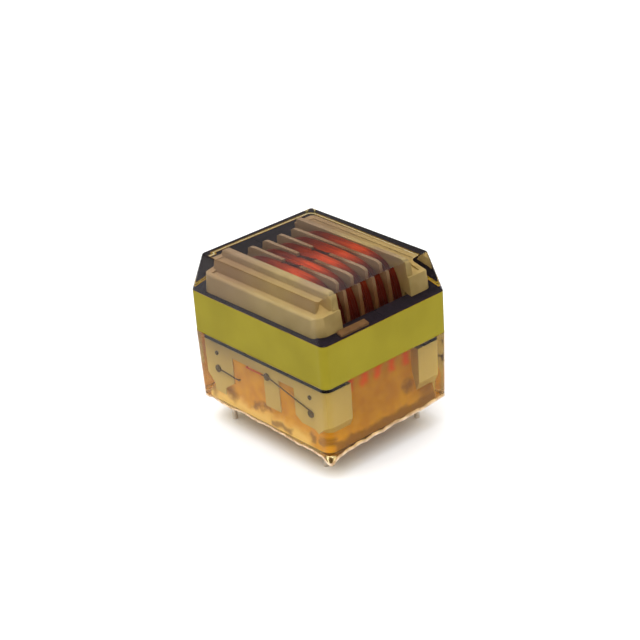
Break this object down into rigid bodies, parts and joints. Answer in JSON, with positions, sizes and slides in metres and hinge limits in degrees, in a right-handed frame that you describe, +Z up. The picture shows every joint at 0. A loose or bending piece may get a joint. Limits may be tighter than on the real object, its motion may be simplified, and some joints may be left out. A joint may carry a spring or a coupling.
{
  "type": "pcb transformer",
  "caption": "Board-mounted ferrite transformer: two E cores and a chambered coil former with red windings, cast in a clear resin block with pins below.",
  "frame": {"origin": "middle of the resin block's underside, the face that meets the board", "axes": "+Z up out of the board, +Y along the coil's axis, +X across the core towards the leg with the pale strip"},
  "size_m": [0.0356, 0.0294, 0.0335],
  "materials": {
    "resin": "clear amber casting resin, glossy, hazy below the core",
    "tape": "yellow polyester tape, satin",
    "ferrite": "dark grey sintered ferrite, matt, faintly blue",
    "former": "cream moulded plastic, satin",
    "enamelled_wire": "copper wire in clear red enamel, glossy",
    "seat": "black bedding strip, matt",
    "insulator": "pale insulating strip, matt",
    "tinned": "tinned brass, slightly dull"
  },
  "bodies": {
    "root": {"potting_block": "resin", "core_tape": "tape", "core_half_front": "ferrite", "core_half_rear": "ferrite", "coil_former": "former", "winding_1": "enamelled_wire", "winding_2": "enamelled_wire", "winding_3": "enamelled_wire", "winding_4": "enamelled_wire", "winding_5": "enamelled_wire", "core_seat_front": "seat", "core_seat_rear": "seat", "leg_insulator": "insulator", "pin_1": "tinned", "pin_2": "tinned", "pin_3": "tinned", "pin_4": "tinned", "tie_peg_1": "tinned", "tie_peg_2": "tinned", "tie_peg_3": "tinned", "tie_peg_4": "tinned", "tie_peg_5": "tinned", "tie_peg_6": "tinned", "start_lead_a": "enamelled_wire", "start_lead_b": "enamelled_wire", "finish_lead_a": "enamelled_wire", "finish_lead_b": "enamelled_wire"}
  },
  "joints": []
}
